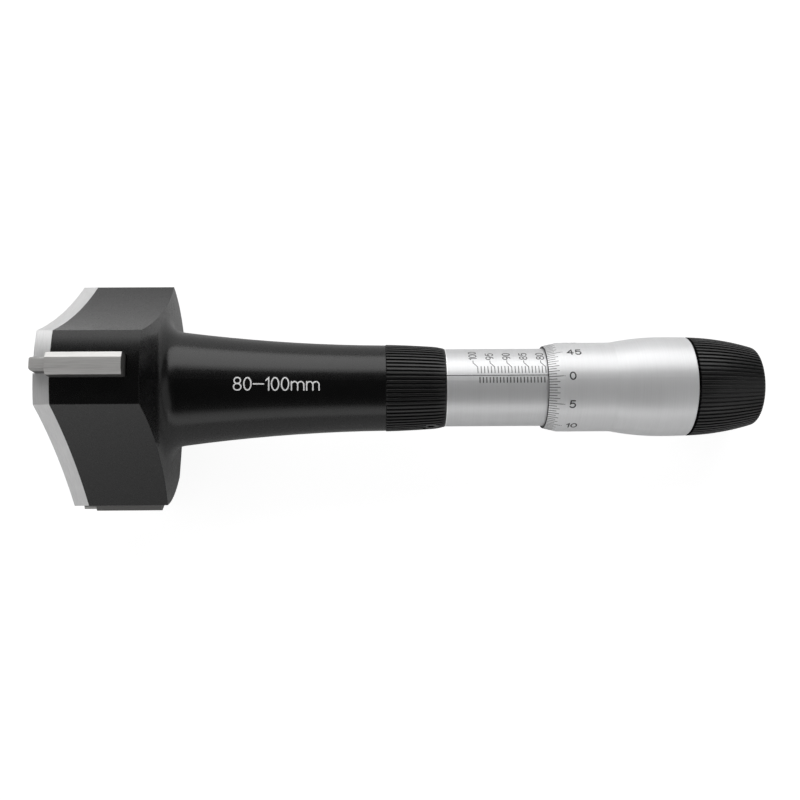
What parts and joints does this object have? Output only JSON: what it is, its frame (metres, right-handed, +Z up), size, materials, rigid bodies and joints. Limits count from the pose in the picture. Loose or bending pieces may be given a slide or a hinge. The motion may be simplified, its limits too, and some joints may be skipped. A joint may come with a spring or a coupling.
{
  "type": "three-point micrometer",
  "caption": "Bore micrometer lying on its side: black lobed head with sliding anvils, flared handle, graduated sleeve, turning thimble and ribbed knob.",
  "frame": {"origin": "centre of the front face of the cover plate, on the tool's axis", "axes": "+X along the tool from the head to the knob, dipping by the angle at which the tool lies; +Z up, away from the surface it lies on; +Y across the tool"},
  "size_m": [0.2088, 0.0708, 0.0673],
  "materials": {
    "black_body": "satin black anodised",
    "black_ribs": "satin black anodised, ribbed",
    "cover_plate": "fine satin",
    "ground_steel": "ground along its length",
    "satin_scale": "satin chrome",
    "hard_steel": "ground",
    "spring_steel": "bright wire",
    "black_screw": "black oxide",
    "bronze": "turned"
  },
  "bodies": {
    "handle": {"head_body": "black_body", "front_cover": "cover_plate", "cover_screws": "black_screw", "spring_pegs": "hard_steel", "anvil_spring_1": "spring_steel", "anvil_spring_2": "spring_steel", "anvil_spring_3": "spring_steel", "rod_bush": "bronze", "inner_barrel": "hard_steel", "adjusting_nut": "hard_steel", "zero_ring": "black_ribs", "ring_screw": "black_screw", "graduated_sleeve": "satin_scale"},
    "anvil_1": {"anvil_1": "ground_steel"},
    "anvil_2": {"anvil_2": "ground_steel"},
    "anvil_3": {"anvil_3": "ground_steel"},
    "cone": {"measuring_cone": "hard_steel", "push_rod": "hard_steel"},
    "thimble": {"spindle": "hard_steel", "contact_ball": "hard_steel", "thimble": "satin_scale", "thimble_nut": "hard_steel", "knob_screw": "hard_steel"},
    "knob": {"thimble_knob": "black_ribs", "knob_cap": "black_ribs", "clutch_disc": "hard_steel", "clutch_springs": "spring_steel"}
  },
  "joints": [
    {"name": "cone_advance", "type": "slide", "parent": "handle", "child": "cone", "axis": [-0.9977, 0, 0.0679], "range_m": [0, 0.02]},
    {"name": "thimble_turn", "type": "hinge", "parent": "cone", "child": "thimble", "pos_m": [0.14222, 0, -0.00968], "axis": [-0.9977, 0, 0.0679], "range_deg": [0, 14400]},
    {"name": "knob_turn", "type": "hinge", "parent": "thimble", "child": "knob", "pos_m": [0.18577, 0, -0.01265], "axis": [-0.9977, 0, 0.0679], "continuous": true},
    {"name": "anvil_1_slide", "type": "slide", "parent": "handle", "child": "anvil_1", "axis": [0.0679, 0, 0.9977], "range_m": [0, 0.01], "deforming": ["anvil_spring_1"]},
    {"name": "anvil_2_slide", "type": "slide", "parent": "handle", "child": "anvil_2", "axis": [-0.034, -0.866, -0.4988], "range_m": [0, 0.01], "deforming": ["anvil_spring_2"]},
    {"name": "anvil_3_slide", "type": "slide", "parent": "handle", "child": "anvil_3", "axis": [-0.034, 0.866, -0.4988], "range_m": [0, 0.01], "deforming": ["anvil_spring_3"]}
  ],
  "couplings": [
    {"joint": "cone_advance", "follows": "thimble_turn", "m_per_rad": 0.000079577},
    {"joint": "anvil_1_slide", "follows": "thimble_turn", "m_per_rad": 0.000039788},
    {"joint": "anvil_2_slide", "follows": "thimble_turn", "m_per_rad": 0.000039788},
    {"joint": "anvil_3_slide", "follows": "thimble_turn", "m_per_rad": 0.000039788}
  ]
}
